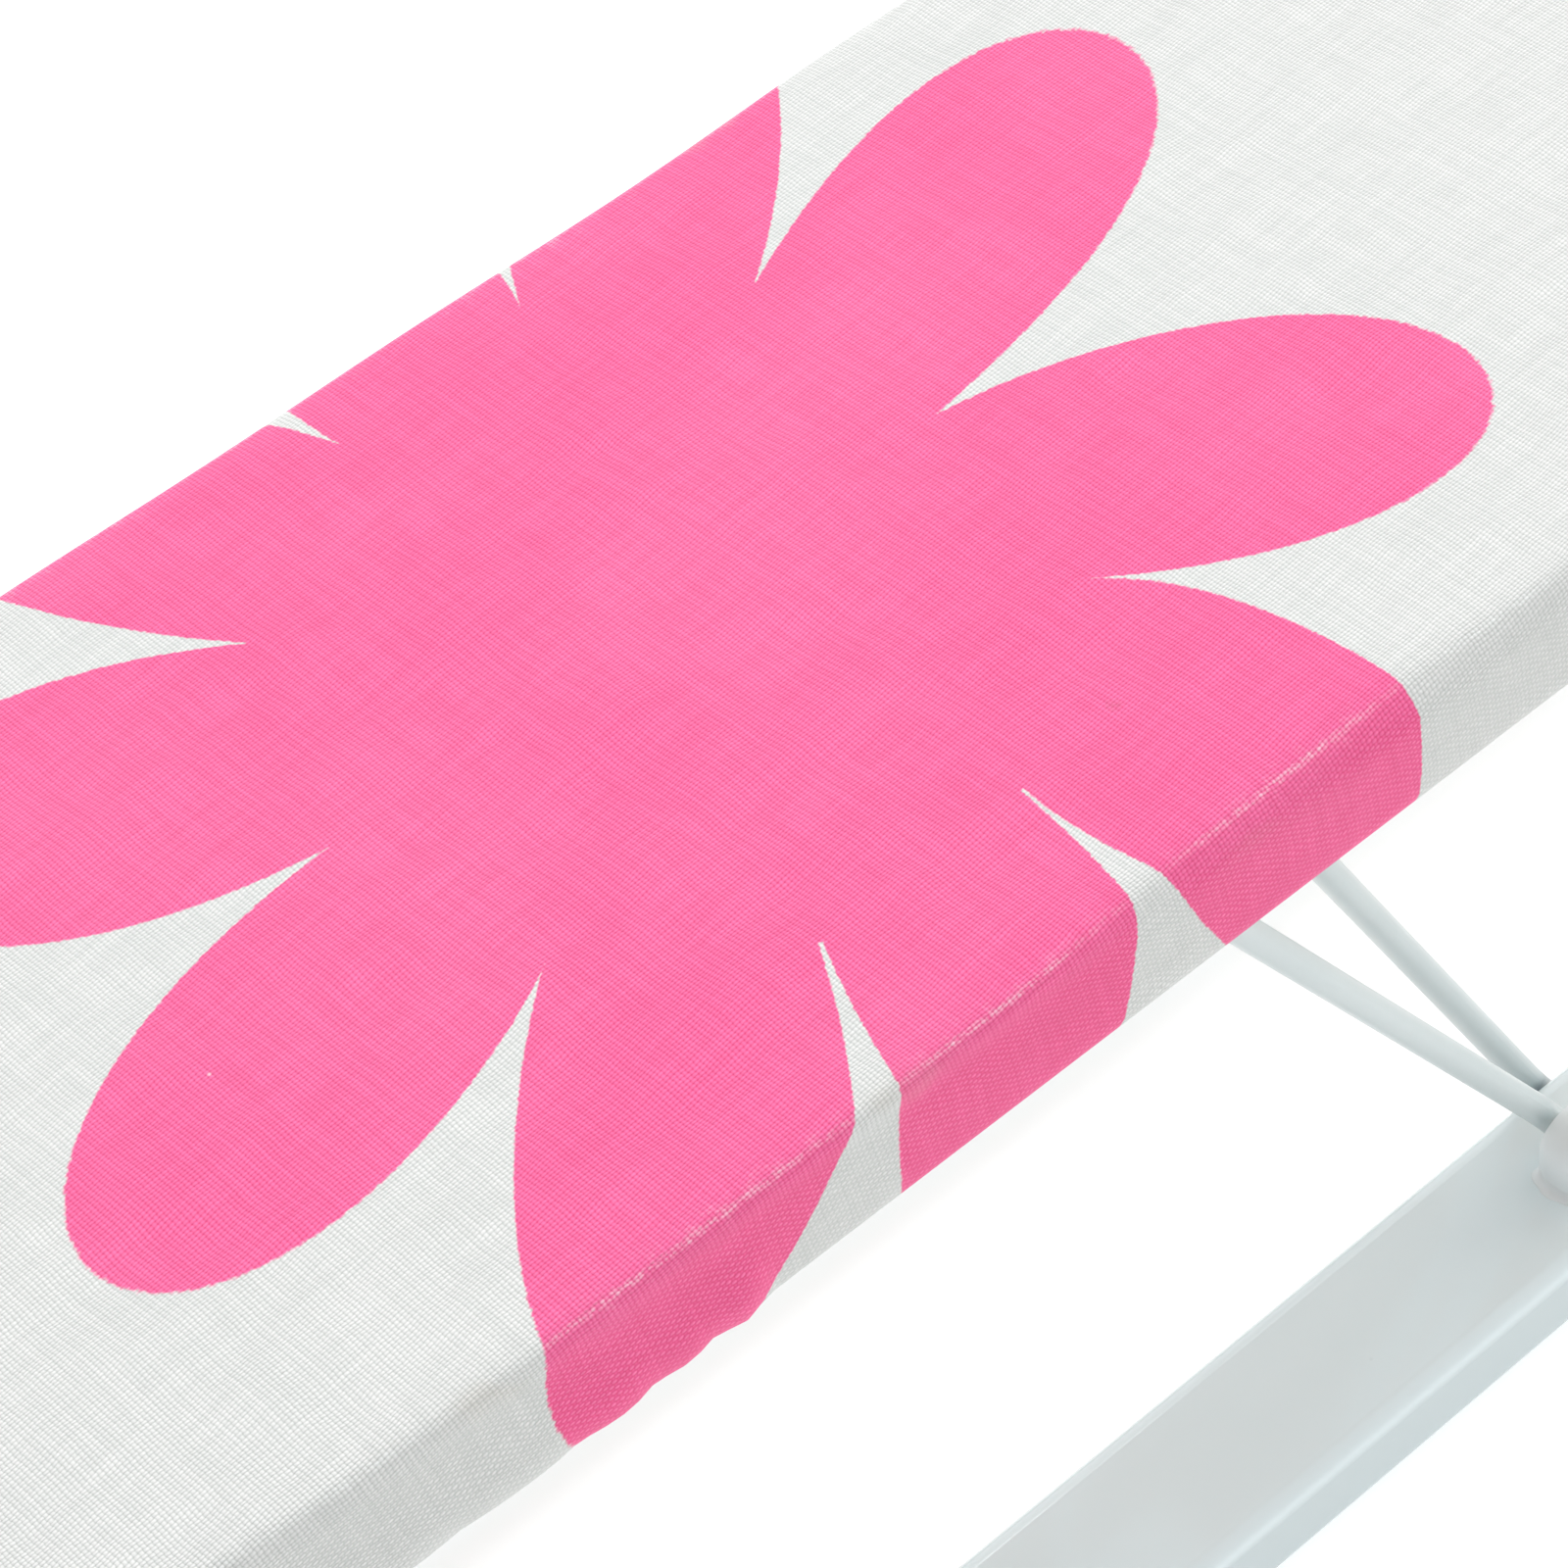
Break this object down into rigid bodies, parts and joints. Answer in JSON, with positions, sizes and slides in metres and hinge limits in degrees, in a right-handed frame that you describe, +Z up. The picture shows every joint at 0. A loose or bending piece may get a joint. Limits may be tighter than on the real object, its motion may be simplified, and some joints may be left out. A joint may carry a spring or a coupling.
{
  "type": "sleeve ironing board",
  "caption": "Small table-top ironing board for sleeves: padded board with a rounded nose on a folding wire frame over a long loop base.",
  "frame": {"origin": "on the table, under the middle of the board's outline", "axes": "+X along the board from its narrow nose to its heel, +Y to the far side, +Z up"},
  "size_m": [0.52, 0.1226, 0.162],
  "materials": {
    "rail_paint": "glossy white enamel",
    "wire_paint": "white powder coat, semi-gloss",
    "lug_paint": "glossy white enamel over a welded lug",
    "bow_plastic": "moulded white plastic",
    "bush_plastic": "blue-grey plastic",
    "foot_rubber": "grey rubber",
    "screw_steel": "zinc plated",
    "clip_steel": "white painted pressed steel",
    "catch_plastic": "moulded white plastic",
    "fibreboard": "raw medium density fibreboard",
    "pad_felt": "needled felt",
    "cover_cotton": "plain-weave cotton, off-white with one large printed pink flower",
    "elastic": "braided elastic"
  },
  "bodies": {
    "base": {"near_rail": "rail_paint", "far_rail": "rail_paint", "nose_bow": "bow_plastic", "heel_bow": "bow_plastic", "bow_screws": "screw_steel", "front_near_lug": "lug_paint", "front_far_lug": "lug_paint", "rear_near_lug": "lug_paint", "rear_far_lug": "lug_paint", "near_bush": "bush_plastic", "far_bush": "bush_plastic", "nose_near_foot": "foot_rubber", "nose_far_foot": "foot_rubber", "heel_near_foot": "foot_rubber", "heel_far_foot": "foot_rubber"},
    "front_leg": {"front_leg": "wire_paint"},
    "rear_leg": {"rear_leg": "wire_paint"},
    "stay": {"stay": "wire_paint"},
    "board": {"board_core": "fibreboard", "felt_pad": "pad_felt", "cover": "cover_cotton", "hem_elastic": "elastic", "front_near_clip": "clip_steel", "front_far_clip": "clip_steel", "rear_near_clip": "clip_steel", "rear_far_clip": "clip_steel", "front_clip_screws": "screw_steel", "rear_clip_screws": "screw_steel", "stay_catch": "catch_plastic", "catch_screws": "screw_steel"}
  },
  "joints": [
    {"name": "front_leg_fold", "type": "hinge", "parent": "base", "child": "front_leg", "pos_m": [0.0684, 0, 0.022], "axis": [0, -1, 0], "range_deg": [0, 55]},
    {"name": "board_level", "type": "hinge", "parent": "front_leg", "child": "board", "pos_m": [-0.00336, 0, 0.1419], "axis": [0, -1, 0], "range_deg": [-55.5, 0]},
    {"name": "rear_leg_fold", "type": "hinge", "parent": "base", "child": "rear_leg", "pos_m": [0.1884, 0, 0.022], "axis": [0, -1, 0], "range_deg": [0, 55.5]},
    {"name": "stay_fold", "type": "hinge", "parent": "base", "child": "stay", "pos_m": [0.0769, 0, 0.0105], "axis": [0, -1, 0], "range_deg": [0, 66.5]}
  ],
  "couplings": [
    {"joint": "board_level", "follows": "front_leg_fold", "ratio": -1},
    {"joint": "rear_leg_fold", "follows": "front_leg_fold", "ratio": 1},
    {"joint": "stay_fold", "follows": "front_leg_fold", "ratio": 1.2}
  ]
}
